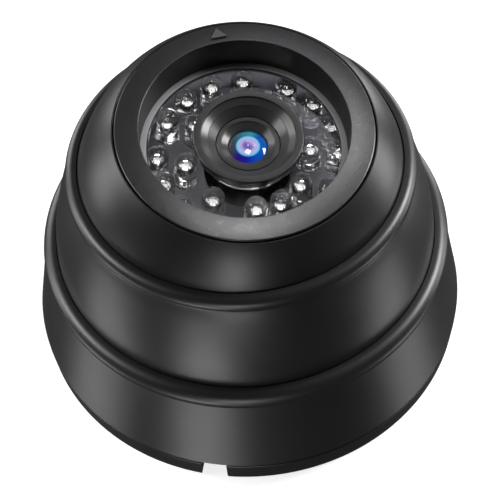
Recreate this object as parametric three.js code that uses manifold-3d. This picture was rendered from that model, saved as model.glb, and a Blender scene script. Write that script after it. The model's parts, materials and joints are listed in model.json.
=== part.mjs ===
// Dome surveillance camera: a round base, a twist-off cover, a panning swivel ring, a tilting ball
// and a head that turns in the ball. Millimetres, +Z up, origin at the middle of the base's underside.
import * as THREE from "three";
import { mergeVertices } from "three/addons/utils/BufferGeometryUtils.js";
import Module from "manifold-3d";

const wasm = await Module();
wasm.setup();

// ---- Fits ----
const seatGap = 0.15; // between faces that rest on each other
const runGap = 0.3; // between faces that turn on each other
const swing = 0.45; // between the ball and the ring it tilts in
const pressGap = 0.1; // round a pin or a seal in its seat

// ---- Infrared LEDs and the boards ----
const ledRadius = 2.5;
const ledHeight = 8.7;
const ledLip = 0.25; // how far an LED's foot stands out past its body
const ledSpacing = 0.3; // between the two rings of feet
const ledTipGap = 0.45; // from the LED tips up to the window
const outerGroups = 4; // groups of LEDs, with a wider gap between groups
const outerPerGroup = 4;
const outerGroupStart = 80;
const outerPitch = 20;
const innerLedAngles = [354, 37, 82, 132, 178, 224, 263, 288, 313];
const photocell = { radius: 2.2, height: 2.6, angle: 245 };
const boardThickness = 1.6;
const boardSpacing = 7.5; // between the LED board and the sensor board
const sensorBoardInset = 1.19; // of its corners from the LED board's edge
const spacer = { outer: 2.2, inner: 1.1, share: 0.57, angles: [45, 225] }; // share of the board's side
const socket = { width: 8, depth: 4, height: 3, place: -8 };
const sensor = { side: 6, height: 1 };
const moduleOffset = [1.2, 1.1]; // the lens and LED axis from the ball's own

// ---- Lens ----
const hoodRadius = 11.9;
const hoodProud = 2.75; // how far the hood stands out of the window
const hoodFlangeWidth = 1.3;
const barrelRadius = 5.8;
const barrelFlange = 6.5;
const barrelDepth = 3.7; // from the hood's rim down to the barrel's front
const barrelLength = 16.8;
const frontLensRadius = 4.7;
const rearLensRadius = 3.6;
const mountWall = 1.7;

// ---- Head ----
const headWall = 1.6;
const openingRadius = 22.4;
const recessDepth = 8.2; // from the bezel's face to the ledge
const ledgeWidth = 1.4;
const ledgeThickness = 0.8;
const bezelFlange = 1.35; // how far the bezel stands out past its skirt
const bezelCrown = 0.65; // how much higher its face is at the opening
const windowThickness = 1.1;
const windowStep = 1.15;
const gasketThickness = 0.4;
const sealThickness = 0.5;
const clipThickness = 0.8;
const clipWidth = 2.2;
const headCable = { radius: 3.4, place: -15, bore: 1.8 }; // where the cable leaves the head

// ---- Ball and swivel ring ----
const ballRadius = 37.4;
const ballWall = 2;
const ballCentre = 42.5; // height of the ball's centre
const ballRear = -12; // its open rear edge, from its centre
const ringRise = 11.8; // from the ball's centre up to the ring's lip
const ringFlare = 5.4; // how much wider the ring is at the cover than at the ball
const ringWall = 2.4;
const tiltPinRadius = 2;
const tiltPinLength = 6.6;

// ---- Outer cover and base ----
const coverTop = 29.75;
const coverFlare = 3.7; // how much wider the cover is at its foot than at its shoulder
const coverWall = 2.2;
const lipRadius = 3;
const baseHeight = 6;
const floorThickness = 2.4;
const rimThickness = 2.6;
const rimDraft = 0.5;
const spigotWall = 1.4;
const spigotHeight = 11;
const hubRadius = 8;
const lugSpan = 16; // degrees
const lugHeight = 1.8;
const turntableBottom = 9.6;
const turntableThickness = 2;
const panShoulder = 3.7;
const panThread = 2.4;
const washerThickness = 0.5;
const notchWidth = 5.8; // cable notch in the rim
const notchDepth = 11;
const notchAngle = 257.5;
const slotCircle = 33; // wall screw slots
const slotWidth = 4.4;
const slotLength = 10;
const cableHolePlace = 26;
const cableHoleRadius = 5.2;
const cableBore = 3.6; // radius of the grommet's bore

// ---- Fasteners ----
const ringScrew = { head: 2.2, headHeight: 1.2, shank: 1.1, length: 3.6 };
const bossRadius = 2;
const bossAngles = [62, 155, 337];

// ---- Where the joints stand at rest, in degrees ----
const restPan = 30.4;
const restTilt = 6.9;
const restRoll = -19.9;

// ---- Facets round each turned piece ----
const shellSides = 40;
const moduleSides = 32;
const partSides = 24;
const smallSides = 12;
const ledSides = 8;

// ---- Sizes that follow: LED board and head, from the lens axis outwards ----
const ledFlange = ledRadius + ledLip;
const hoodNeck = hoodRadius - hoodFlangeWidth;
const mountRadius = barrelRadius + mountWall;
const innerLedEdge = Math.max(hoodNeck + 0.35, mountRadius + 0.9);
const innerPitches = innerLedAngles.map((a, i, all) => (all[(i + 1) % all.length] - a + 360) % 360);
const innerTightest = Math.min(...innerPitches) / 2;
const innerLedCircle = Math.max(
  innerLedEdge + ledFlange,
  (ledFlange + pressGap) / Math.sin(THREE.MathUtils.degToRad(innerTightest)),
);
const outerLedCircle = innerLedCircle + 2 * ledFlange + ledSpacing;
const ledBoardRadius = outerLedCircle + ledFlange + seatGap;
const sensorBoardSide = (ledBoardRadius - sensorBoardInset) * Math.SQRT2;
const ledBoardHole = mountRadius + (innerLedEdge - mountRadius) * 0.58;
const cavity = ledBoardRadius + Math.hypot(...moduleOffset) + 0.57; // inside radius of the head
const skirtRadius = cavity + headWall;
const bezelRadius = skirtRadius + bezelFlange;
const bossCircle = cavity - bossRadius + 0.2;

// Heights in the head, from the ball's centre along the lens direction.
const ballMouth = bezelRadius + runGap;
const ballTop = Math.sqrt(ballRadius ** 2 - (ballMouth + 0.33) ** 2);
const seatTop = ballTop - 1.9;
const seatBottom = seatTop - 2.7;
const clipHeight = seatBottom - 0.5 - clipThickness;
const bezelEdge = ballTop + 0.35;
const bezelTop = bezelEdge + bezelCrown;
const ledgeTop = bezelTop - recessDepth;
const ledgeBottom = ledgeTop - ledgeThickness;
const ledgeRadius = openingRadius - ledgeWidth - 0.1;
const windowShoulder = ledgeBottom - gasketThickness - pressGap;
const windowBottom = windowShoulder - windowThickness;
const windowTop = windowShoulder + windowStep;
const hoodRim = windowTop + hoodProud;
const hoodFlangeLow = windowTop + sealThickness + pressGap;
const barrelFront = hoodRim - barrelDepth;
const barrelMouth = barrelFlange + 0.5;
const barrelRear = barrelFront - barrelLength;
const ledBoardTop = windowBottom - ledTipGap - ledHeight - seatGap;
const ledBoardLow = ledBoardTop - boardThickness;
const sensorBoardTop = ledBoardLow - boardSpacing;
const mountTop = ledBoardTop + 2.3;
const skirtBottom = ledBoardLow - 1.1;
const housingRear = sensorBoardTop - boardThickness - 6;
const housingFloor = housingRear + headWall;
const headScrew = { head: 1.9, headHeight: 1.1, shank: 0.9, length: skirtBottom - housingRear + 4 };

// ---- Sizes that follow: ring, cover and base, from the ball outwards ----
const ringBore = ballRadius + swing;
const ringWaist = ringBore + ringFlare;
const ringSkirt = ringWaist - 0.85;
const ringTop = ballCentre + ringRise;
const coverLip = ringWaist + 0.4; // inner edge of the cover's lip
const coverShoulder = coverLip + lipRadius - 0.35;
const baseRadius = coverShoulder + coverFlare;
const spigotRadius = ringSkirt + 1.1 + spigotWall;
const ringFlangeInner = ringSkirt - 6.4;
const ringScrewCircle = ringSkirt - 3.4;
const coverInner = baseRadius - coverWall - 0.3;
const coverBottom = baseHeight + runGap;
const coverLugLow = coverBottom + 0.3;
const baseLugLow = coverLugLow + lugHeight + runGap;
const hubTop = turntableBottom - runGap;
const turntableTop = turntableBottom + turntableThickness;
const panHeadLow = turntableTop + washerThickness + 2 * seatGap;
const third = [0, 120, 240];
const ringScrewAngles = third.map((a) => a + 90);

// ---- Finishes ----
const finish = (color, roughness, metalness = 0) =>
  new THREE.MeshStandardMaterial({ color, roughness, metalness });
const housingBlack = finish(0x1d1c1e, 0.45);
const ballBlack = finish(0x1a1a1c, 0.38);
const bezelBlack = finish(0x1c1c1d, 0.4);
const lensBlack = finish(0x121213, 0.35);
const clear = finish(0xd8dde2, 0.05);
const coated = finish(0x27408c, 0.08);
const rubber = finish(0x202020, 0.85);
const steel = finish(0xb5b7ba, 0.3, 1);
const board = finish(0x10140f, 0.55);
const nylon = finish(0xc8c3b8, 0.6);
const chip = finish(0x0c0c10, 0.2);

// ---- Solids ----
const radians = THREE.MathUtils.degToRad;
const at = (radius, degrees) => [radius * Math.cos(radians(degrees)), radius * Math.sin(radians(degrees))];

function solid(geometry) {
  const bare = new THREE.BufferGeometry().setAttribute("position", geometry.getAttribute("position"));
  bare.setIndex(geometry.getIndex());
  const merged = mergeVertices(bare, 1e-4);
  return new wasm.Manifold(
    new wasm.Mesh({
      numProp: 3,
      vertProperties: merged.attributes.position.array,
      triVerts: new Uint32Array(merged.index.array),
    }),
  );
}

function geometryOf(made) {
  const mesh = made.getMesh();
  const shape = new THREE.BufferGeometry();
  shape.setAttribute("position", new THREE.BufferAttribute(new Float32Array(mesh.vertProperties), 3));
  shape.setIndex(new THREE.BufferAttribute(new Uint32Array(mesh.triVerts), 1));
  shape.computeVertexNormals();
  return shape;
}

const cut = (from, ...tools) => tools.reduce((made, tool) => made.subtract(solid(tool)), from);
const join = (from, ...pieces) => pieces.reduce((made, piece) => made.add(solid(piece)), from);

// A profile of [radius, height] points turned about Z. It starts and ends on the axis, or closes on itself.
function turned(profile, sides = shellSides) {
  const loop = profile[0][0] === 0 ? profile : [...profile, profile[0]];
  const points = loop.map(([r, z]) => new THREE.Vector2(r, z));
  return new THREE.LatheGeometry(points, sides).rotateX(Math.PI / 2);
}

function post(radius, low, high, sides = partSides) {
  return turned([[0, low], [radius, low], [radius, high], [0, high]], sides);
}

function tube(outer, inner, low, high, sides = partSides) {
  return turned([[outer, low], [outer, high], [inner, high], [inner, low]], sides);
}

// The same post at each of several angles on a circle.
function posts(angles, circle, radius, low, high) {
  return angles.map((a) => post(radius, low, high, smallSides).translate(...at(circle, a), 0));
}

// Points on an arc about (r, z), between two angles from the radial direction.
function arc(r, z, radius, from, to, steps) {
  return Array.from({ length: steps + 1 }, (_, i) => {
    const [x, y] = at(radius, from + ((to - from) * i) / steps);
    return [r + x, z + y];
  });
}

// A piece of a flat ring, centred on an angle.
function sector(outer, inner, low, high, middle, span, steps = 6) {
  const outline = new THREE.Shape();
  outline.absarc(0, 0, outer, radians(middle - span / 2), radians(middle + span / 2), false);
  outline.absarc(0, 0, inner, radians(middle + span / 2), radians(middle - span / 2), true);
  const settings = { depth: high - low, bevelEnabled: false, curveSegments: steps };
  return new THREE.ExtrudeGeometry(outline, settings).translate(0, 0, low);
}

// A straight channel from one radius to another.
function channel(width, from, to, low, high, degrees) {
  return new THREE.BoxGeometry(to - from, width, high - low)
    .translate((from + to) / 2, 0, (low + high) / 2)
    .rotateZ(radians(degrees));
}

// A slot with round ends that lies across the radius.
function slot(width, length, radius, low, high, degrees) {
  const reach = (length - width) / 2;
  const outline = new THREE.Shape();
  outline.absarc(0, reach, width / 2, 0, Math.PI, false);
  outline.absarc(0, -reach, width / 2, Math.PI, 2 * Math.PI, false);
  const settings = { depth: high - low, bevelEnabled: false, curveSegments: 6 };
  return new THREE.ExtrudeGeometry(outline, settings).translate(radius, 0, low).rotateZ(radians(degrees));
}

// A pan-head screw; its shank points down from z = 0.
function screw({ head, headHeight, shank, length }) {
  const profile = [
    [0, -length], [shank, shank - length], [shank, 0], [head, 0], [head, headHeight * 0.6],
    [head * 0.7, headHeight], [0, headHeight],
  ];
  return turned(profile, smallSides);
}

// ---- Base ----
function basePlate() {
  const inner = baseRadius - rimThickness;
  const foot = baseRadius - rimDraft;
  const spigotInner = spigotRadius - spigotWall;
  const edge = 0.8;
  const profile = [
    [0, 0], [foot - edge, 0], [foot - edge / 4, edge / 4], [foot, edge], [baseRadius, baseHeight - 0.3],
    [baseRadius - 0.3, baseHeight], [inner, baseHeight], [inner, floorThickness],
    [spigotRadius, floorThickness],
    [spigotRadius, spigotHeight], [spigotInner, spigotHeight], [spigotInner, floorThickness],
    [hubRadius + 1, floorThickness], [hubRadius, floorThickness + 1], [hubRadius, hubTop], [0, hubTop],
  ];
  const lugs = third.map((a) =>
    sector(spigotRadius + 1.6, spigotRadius - 0.5, baseLugLow, baseLugLow + lugHeight, a, lugSpan));
  const slots = third.map((a) => slot(slotWidth, slotLength, slotCircle, -1, floorThickness + 1, a + 30));
  return cut(
    join(solid(turned(profile)), ...lugs),
    ...slots,
    post(cableHoleRadius, -1, floorThickness + 1).translate(0, cableHolePlace, 0),
    channel(notchWidth, baseRadius - notchDepth, baseRadius + 5, -1, spigotHeight + 1, notchAngle),
    post(panThread + 0.2, floorThickness, hubTop + 1),
  );
}

function cableGrommet() {
  const neck = cableHoleRadius - seatGap;
  const flange = cableHoleRadius + 1.6;
  const top = floorThickness + seatGap;
  const profile = [
    [cableBore, seatGap], [neck, seatGap], [neck, top], [flange, top], [flange, top + 0.9],
    [flange - 0.8, top + 1.6], [cableBore + 0.7, top + 2.6], [cableBore, top + 2.6],
  ];
  return turned(profile, partSides);
}

function panScrew() {
  const shoulderLow = hubTop + seatGap;
  const head = panShoulder + 2.9;
  const profile = [
    [0, floorThickness + 1.2], [panThread, floorThickness + 1.8], [panThread, shoulderLow],
    [panShoulder, shoulderLow], [panShoulder, panHeadLow], [head, panHeadLow], [head, panHeadLow + 1.2],
    [head - 0.8, panHeadLow + 1.9], [0, panHeadLow + 1.9],
  ];
  return turned(profile, partSides);
}

function panWasher() {
  const low = turntableTop + seatGap;
  return tube(panShoulder + 2.5, panShoulder + runGap, low, low + washerThickness);
}

// ---- Outer cover ----
function outerCover() {
  const lipZ = coverTop - lipRadius;
  const lipR = coverShoulder - lipRadius;
  const slope = (baseRadius - coverShoulder) / (lipZ - coverBottom);
  const profile = [
    [baseRadius, coverBottom], [baseRadius - slope * 6, coverBottom + 6],
    [baseRadius - slope * 12, coverBottom + 12], [coverShoulder + 0.15, lipZ - 2.2],
    ...arc(lipR, lipZ, lipRadius, 0, 80, 4),
    [coverLip, coverTop - 0.25], [coverLip, coverTop - 1.4], [coverLip + 0.95, lipZ - 0.4],
    [coverShoulder - coverWall + 0.4, lipZ - 3.5], [coverInner, coverBottom + 5.5],
    [coverInner, coverBottom],
  ];
  const lugs = third.map((a) =>
    sector(coverInner + 0.5, spigotRadius + 0.4, coverLugLow, coverLugLow + lugHeight, a, lugSpan));
  return join(solid(turned(profile)), ...lugs);
}

// ---- Swivel ring and turntable ----
function swivelRing() {
  const low = turntableTop + seatGap;
  const lipHeight = ringRise - 0.3;
  const lipInner = Math.sqrt(ringBore ** 2 - lipHeight ** 2);
  const brow = ringTop - 3.3; // where the wall starts to round over into the lip
  const outer = [
    [ringSkirt, low], [ringWaist - 0.2, coverTop - 6], [ringWaist, coverTop],
    [ringWaist - 0.75, coverTop + 6.25],
    [ringWaist - 2.1, ballCentre - 0.5], [ringWaist - 3.7, ballCentre + 5.5], [ringWaist - 4.9, brow],
    [ringWaist - 5.35, brow + 1.3], [ringWaist - 5.7, brow + 2.3], [lipInner + 0.92, ringTop - 0.25],
    [lipInner + 0.22, ringTop],
  ];
  const inner = [
    [lipInner, ballCentre + lipHeight],
    ...arc(0, ballCentre, ringBore, 14, 0, 3), [ringBore, ballCentre - 4],
    [ringWaist - ringWall - 0.2, ballCentre - 10.5], [ringSkirt - ringWall, low + 4],
    [ringFlangeInner, low + 2.4], [ringFlangeInner, low],
  ];
  const pinHole = post(tiltPinRadius + runGap, ballRadius - 3, ballRadius + 2.8, smallSides)
    .rotateY(Math.PI / 2)
    .translate(0, 0, ballCentre);
  return cut(
    solid(turned([...outer, ...inner])),
    pinHole,
    pinHole.clone().rotateZ(Math.PI),
    ...posts(ringScrewAngles, ringScrewCircle, ringScrew.shank + 0.1, low - 1, low + 2),
  );
}

function turntable() {
  const [low, high] = [turntableBottom - 1, turntableTop + 1];
  const windowInner = 18; // openings for the cable to swing in
  const windowOuter = ringFlangeInner - 5;
  return cut(
    solid(tube(ringSkirt, panShoulder + runGap, turntableBottom, turntableTop, shellSides)),
    ...posts(ringScrewAngles, ringScrewCircle, ringScrew.shank + 0.3, low, high),
    sector(windowOuter, windowInner, low, high, 90, 70, 10),
    sector(windowOuter, windowInner, low, high, 270, 70, 10),
  );
}

// ---- Ball ----
function ballShell() {
  const inside = ballRadius - ballWall;
  const latitude = (height, radius) => THREE.MathUtils.radToDeg(Math.asin(height / radius));
  const profile = [
    ...arc(0, 0, ballRadius, latitude(ballRear, ballRadius), latitude(ballTop, ballRadius), 10),
    [ballMouth, ballTop], [ballMouth, seatTop], [skirtRadius + runGap, seatTop],
    [skirtRadius + runGap, seatBottom],
    ...arc(0, 0, inside, latitude(seatBottom, inside), latitude(ballRear, inside), 6),
  ];
  const across = (geometry) => geometry.rotateY(Math.PI / 2);
  const boss = across(post(tiltPinRadius + 2.4, inside - 3.6, inside + 0.8, smallSides));
  const hole = across(post(tiltPinRadius + pressGap, inside - 6, ballRadius + 2, smallSides));
  const opposite = (geometry) => geometry.clone().rotateZ(Math.PI);
  return cut(join(solid(turned(profile)), boss, opposite(boss)), hole, opposite(hole));
}

function tiltPin() {
  const outside = ballRadius + 2.4;
  const profile = [
    [0, outside - tiltPinLength], [tiltPinRadius, outside - tiltPinLength],
    [tiltPinRadius, outside - 0.5],
    [tiltPinRadius - 0.5, outside], [0, outside],
  ];
  return turned(profile, smallSides).rotateY(Math.PI / 2);
}

// ---- Head shell ----
function bezel() {
  const middle = (bezelRadius + openingRadius) / 2;
  const clipFloor = skirtRadius - 0.8;
  const clipLow = clipHeight - seatGap;
  const clipHigh = clipHeight + clipThickness + seatGap;
  const profile = [
    [skirtRadius, skirtBottom], [skirtRadius, clipLow], [clipFloor, clipLow], [clipFloor, clipHigh],
    [skirtRadius, clipHigh], [skirtRadius, seatTop + runGap], [bezelRadius, seatTop + runGap],
    [bezelRadius, bezelEdge - 0.3], [bezelRadius - 0.3, bezelEdge],
    [middle, (bezelEdge + bezelTop) / 2 + 0.08],
    [openingRadius + 0.3, bezelTop], [openingRadius, bezelTop - 0.2], [openingRadius - 0.1, ledgeTop],
    [ledgeRadius, ledgeTop - 0.1], [ledgeRadius, ledgeBottom], [cavity, ledgeBottom],
    [cavity, skirtBottom],
  ];
  const markCorners = [[-1.5, -1], [1.5, -1], [0, 1.4]].map(([x, y]) => new THREE.Vector2(x, y));
  const mark = new THREE.ExtrudeGeometry(new THREE.Shape(markCorners), { depth: 1, bevelEnabled: false })
    .translate(0, middle, bezelEdge - 0.3);
  const bosses = posts(bossAngles, bossCircle, bossRadius, skirtBottom, windowBottom - 1.2);
  const holes = posts(bossAngles, bossCircle, headScrew.shank + 0.15, skirtBottom - 1, skirtBottom + 7);
  return cut(join(solid(turned(profile)), ...bosses, mark), ...holes);
}

function headHousing() {
  const top = skirtBottom - seatGap;
  const chamfer = 2.4;
  const profile = [
    [0, housingRear], [skirtRadius - chamfer, housingRear], [skirtRadius, housingRear + chamfer],
    [skirtRadius, top], [cavity, top], [cavity, housingFloor], [0, housingFloor],
  ];
  const bosses = posts(bossAngles, bossCircle, bossRadius, housingRear + 0.4, top);
  return cut(
    join(solid(turned(profile, moduleSides)), ...bosses),
    ...posts(bossAngles, bossCircle, headScrew.shank + runGap, housingRear - 1, top + 1),
    post(headCable.radius, housingRear - 1, housingFloor + 1, smallSides).translate(0, headCable.place, 0),
  );
}

function cableBush() {
  const neck = headCable.radius - seatGap;
  const flange = headCable.radius + 1;
  const seat = housingRear - seatGap;
  const profile = [
    [headCable.bore, seat - 2.4], [headCable.bore + 0.8, seat - 2.4], [flange, seat - 1], [flange, seat],
    [neck, seat], [neck, housingFloor + seatGap], [headCable.bore, housingFloor + seatGap],
  ];
  return turned(profile, smallSides);
}

function retainingClip() {
  const inner = skirtRadius - 0.8 + seatGap;
  return sector(skirtRadius + clipWidth, inner, clipHeight, clipHeight + clipThickness, 90, 335, partSides);
}

// ---- Window ----
function windowPane() {
  const outer = cavity - runGap;
  const raised = ledgeRadius - 0.2;
  const profile = [
    [0, windowBottom], [outer, windowBottom], [outer, windowShoulder], [raised, windowShoulder],
    [raised, windowTop - 0.2], [raised - 0.2, windowTop], [0, windowTop],
  ];
  const hole = post(hoodNeck + runGap, windowBottom - 1, windowTop + 1, moduleSides);
  return cut(solid(turned(profile, moduleSides)), hole.translate(...moduleOffset, 0));
}

function windowGasket() {
  const low = windowShoulder + pressGap / 2;
  return tube(cavity - runGap, ledgeRadius + runGap, low, low + gasketThickness, moduleSides);
}

// ---- Lens ----
function lensHood() {
  const collar = barrelMouth + 1.2;
  const profile = [
    [hoodNeck, windowTop - 2], [hoodNeck, hoodFlangeLow], [hoodRadius, hoodFlangeLow],
    [hoodRadius, hoodRim - 0.3],
    [hoodRadius - 0.3, hoodRim], [hoodRadius - 1.5, hoodRim], [hoodRadius - 1.7, hoodRim - 0.9],
    [hoodRadius - 2.4, hoodRim - 1.1], [barrelMouth + 0.3, barrelFront - 0.2],
    [barrelMouth, barrelFront - 0.8],
    [barrelMouth, hoodRim - 8], [collar, hoodRim - 8], [collar, hoodRim - 5.8],
  ];
  return turned(profile, moduleSides);
}

function hoodSeal() {
  const low = windowTop + pressGap / 2;
  return tube(hoodRadius - runGap, hoodNeck + 0.35, low, low + sealThickness, moduleSides);
}

function lensMount() {
  const low = sensorBoardTop + seatGap;
  const side = 2 * mountRadius + 1;
  const foot = new THREE.BoxGeometry(side, side, 3).translate(0, 0, low + 1.5);
  return cut(
    join(solid(foot), post(mountRadius, low + 1, mountTop)),
    post(barrelRadius + runGap, low - 1, mountTop + 1),
  );
}

function lensBarrel() {
  const seat = frontLensRadius + seatGap;
  const rearSeat = rearLensRadius + seatGap;
  const stop = rearLensRadius - 0.8;
  const profile = [
    [barrelRadius, barrelRear], [barrelRadius, barrelFront - 3.7], [barrelFlange, barrelFront - 3.3],
    [barrelFlange, barrelFront - 0.3], [barrelFlange - 0.3, barrelFront], [seat + 0.75, barrelFront],
    [seat, barrelFront - 0.9], [seat, barrelFront - 4.3], [stop, barrelFront - 4.7],
    [stop, barrelRear + 4.5],
    [rearSeat, barrelRear + 4.1], [rearSeat, barrelRear],
  ];
  return turned(profile, moduleSides);
}

// A domed element: its edge, then the dome's crown above the edge.
function lensElement(radius, low, edge, crown, back = 0) {
  const profile = [
    [0, low - back], [radius / 2, low - back * 0.7], [radius, low], [radius, low + edge],
    [radius * 0.83, low + edge + crown * 0.42], [radius * 0.57, low + edge + crown * 0.75],
    [radius * 0.3, low + edge + crown * 0.94], [0, low + edge + crown],
  ];
  return turned(profile, partSides);
}

function lockRing() {
  const low = mountTop + runGap;
  return tube(barrelRadius + 1.6, barrelRadius + pressGap, low, low + 2);
}

// ---- Boards and LEDs ----
function ledBody() {
  const dome = ledHeight - ledRadius;
  const slant = ledRadius * Math.SQRT1_2;
  const profile = [
    [0, 0], [ledFlange, 0], [ledFlange, 1], [ledRadius, 1], [ledRadius, dome],
    [slant, dome + slant], [0, ledHeight],
  ];
  return turned(profile, ledSides);
}

function ledBoard() {
  const disc = tube(ledBoardRadius, ledBoardHole, ledBoardLow, ledBoardTop, moduleSides);
  const notches = posts(bossAngles, bossCircle, bossRadius + 0.4, ledBoardLow - 1, ledBoardTop + 1);
  return cut(solid(disc.translate(...moduleOffset, 0)), ...notches);
}

// ---- Assembly ----
function place(group, name, geometry, material, x = 0, y = 0, z = 0) {
  const mesh = new THREE.Mesh(geometry, material);
  mesh.name = name;
  mesh.position.set(x, y, z);
  group.add(mesh);
  return mesh;
}

function group(parent, z = 0) {
  const made = new THREE.Group();
  made.position.z = z;
  parent.add(made);
  return made;
}

// Screws driven upwards from below a face.
function placeScrews(parent, name, size, angles, circle, face) {
  angles.forEach((a, i) => {
    const [x, y] = at(circle, a);
    place(parent, `${name}_${i + 1}`, screw(size), steel, x, y, face - seatGap).rotation.x = Math.PI;
  });
}

const camera = new THREE.Group();
place(camera, "base_plate", geometryOf(basePlate()), housingBlack);
place(camera, "cable_grommet", cableGrommet(), rubber, 0, cableHolePlace);
place(camera, "pan_screw", panScrew(), steel);
place(camera, "pan_washer", panWasher(), steel);
place(camera, "outer_cover", geometryOf(outerCover()), housingBlack);

const swivel = group(camera);
swivel.rotation.z = radians(restPan);
place(swivel, "swivel_ring", geometryOf(swivelRing()), housingBlack);
place(swivel, "turntable", geometryOf(turntable()), housingBlack);
placeScrews(swivel, "turntable_screw", ringScrew, ringScrewAngles, ringScrewCircle, turntableBottom);

const ball = group(swivel, ballCentre);
ball.rotation.x = radians(restTilt);
place(ball, "ball_shell", geometryOf(ballShell()), ballBlack);
place(ball, "tilt_pin_right", tiltPin(), steel);
place(ball, "tilt_pin_left", tiltPin(), steel).rotation.z = Math.PI;

const head = group(ball);
head.rotation.z = radians(restRoll);
place(head, "bezel", geometryOf(bezel()), bezelBlack);
place(head, "window_gasket", windowGasket(), rubber);
place(head, "window", geometryOf(windowPane()), clear);
place(head, "retaining_clip", retainingClip(), steel);
place(head, "head_housing", geometryOf(headHousing()), housingBlack);
place(head, "cable_bush", cableBush(), rubber, 0, headCable.place);
placeScrews(head, "housing_screw", headScrew, bossAngles, bossCircle, housingRear);
place(head, "led_board", geometryOf(ledBoard()), board);

const lensAxis = group(head); // everything centred on the lens
lensAxis.position.set(...moduleOffset, 0);
const ledFoot = ledBoardTop + seatGap;
let outerCount = 0;
for (let groupIndex = 0; groupIndex < outerGroups; groupIndex++) {
  for (let i = 0; i < outerPerGroup; i++) {
    const besidePhotocell = groupIndex === 2 && i === 0; // its wires take this place
    if (besidePhotocell) continue;
    outerCount += 1;
    const [x, y] = at(outerLedCircle, outerGroupStart + (360 / outerGroups) * groupIndex + outerPitch * i);
    place(lensAxis, `led_outer_${String(outerCount).padStart(2, "0")}`, ledBody(), clear, x, y, ledFoot);
  }
}
innerLedAngles.forEach((a, i) => {
  place(lensAxis, `led_inner_${i + 1}`, ledBody(), clear, ...at(innerLedCircle, a), ledFoot);
});
const photocellBody = post(photocell.radius, 0, photocell.height, smallSides);
place(lensAxis, "photocell", photocellBody, clear, ...at(outerLedCircle, photocell.angle), ledFoot);

const sensorBoard = new THREE.BoxGeometry(sensorBoardSide, sensorBoardSide, boardThickness);
place(lensAxis, "sensor_board", sensorBoard, board, 0, 0, sensorBoardTop - boardThickness / 2);
spacer.angles.forEach((a, i) => {
  const tubeLow = sensorBoardTop + seatGap;
  const tubeHigh = ledBoardLow - seatGap;
  const pillar = tube(spacer.outer, spacer.inner, tubeLow, tubeHigh, smallSides);
  place(lensAxis, `board_spacer_${i + 1}`, pillar, steel, ...at(sensorBoardSide * spacer.share, a));
});
const socketZ = sensorBoardTop - boardThickness - seatGap - socket.height / 2;
const socketBody = new THREE.BoxGeometry(socket.width, socket.depth, socket.height);
place(lensAxis, "cable_socket", socketBody, nylon, 0, socket.place, socketZ);
const sensorBody = new THREE.BoxGeometry(sensor.side, sensor.side, sensor.height);
place(lensAxis, "image_sensor", sensorBody, chip, 0, 0, sensorBoardTop + seatGap + sensor.height / 2);
place(lensAxis, "lens_mount", geometryOf(lensMount()), lensBlack);
place(lensAxis, "lens_hood", lensHood(), lensBlack);
place(lensAxis, "hood_seal", hoodSeal(), rubber);
place(lensAxis, "lens_barrel", lensBarrel(), lensBlack);
place(lensAxis, "lens_lock_ring", lockRing(), lensBlack);
place(lensAxis, "front_lens", lensElement(frontLensRadius, barrelFront - 4, 1.3, 1.8), coated);
place(lensAxis, "rear_lens", lensElement(rearLensRadius, barrelRear + 1.1, 1.6, 0.9, 0.7), clear);

export default camera;
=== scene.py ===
import json
import math

import bpy
from mathutils import Matrix, Vector


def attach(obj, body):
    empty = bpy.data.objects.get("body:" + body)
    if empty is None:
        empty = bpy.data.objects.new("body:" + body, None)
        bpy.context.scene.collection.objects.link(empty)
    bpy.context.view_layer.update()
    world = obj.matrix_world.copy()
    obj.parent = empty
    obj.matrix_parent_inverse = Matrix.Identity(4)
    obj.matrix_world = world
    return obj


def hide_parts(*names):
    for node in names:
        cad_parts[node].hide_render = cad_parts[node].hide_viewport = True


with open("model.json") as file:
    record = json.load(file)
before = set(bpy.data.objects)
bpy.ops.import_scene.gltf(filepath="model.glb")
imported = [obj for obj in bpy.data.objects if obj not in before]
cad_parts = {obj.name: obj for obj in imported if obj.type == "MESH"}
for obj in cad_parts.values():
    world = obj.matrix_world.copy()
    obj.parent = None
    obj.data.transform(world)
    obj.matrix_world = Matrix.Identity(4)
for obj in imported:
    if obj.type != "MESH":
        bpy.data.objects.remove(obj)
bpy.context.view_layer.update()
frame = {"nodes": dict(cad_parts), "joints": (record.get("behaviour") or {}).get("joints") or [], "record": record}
mm = 0.001
shellSides = 240  # round each large shell
creaseAngle = 32  # edges sharper than this stay crisp
third = 120  # degrees between three of a kind
joints = {joint["name"]: joint for joint in frame["joints"]}

# The moving bodies stand at rest as the frame's joints say.
tiltAxis = Vector(joints["tilt"]["axis"])
lensAxis = Vector(joints["roll"]["axis"])
ballCentre = Vector(joints["tilt"]["pos_m"])
lensPoint = Vector(joints["focus"]["pos_m"])
headTurn = math.radians(-19.9)  # how far the head is rolled in the ball at rest


def axesMatrix(x, z, origin):
    y = z.cross(x)
    turn = Matrix((x, y, z)).transposed().to_4x4()
    return Matrix.Translation(origin) @ turn


swivelMatrix = axesMatrix(tiltAxis, Vector((0, 0, 1)), Vector((0, 0, 0)))
ballMatrix = axesMatrix(tiltAxis, lensAxis, ballCentre)
headMatrix = ballMatrix @ Matrix.Rotation(headTurn, 4, "Z")
lensMatrix = Matrix.Translation(lensPoint - ballCentre) @ headMatrix
print("frame loaded:", len(frame["nodes"]), "nodes")


# Outlines and turned shapes. An outline is a list of (radius, height) in millimetres, with a
# third number where a corner is rounded. It runs up the outside and down the inside.

def arc(r, z, radius, start, end, steps=8):
    angles = [math.radians(start + (end - start) * i / steps) for i in range(steps + 1)]
    return [(r + radius * math.cos(a), z + radius * math.sin(a)) for a in angles]


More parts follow.
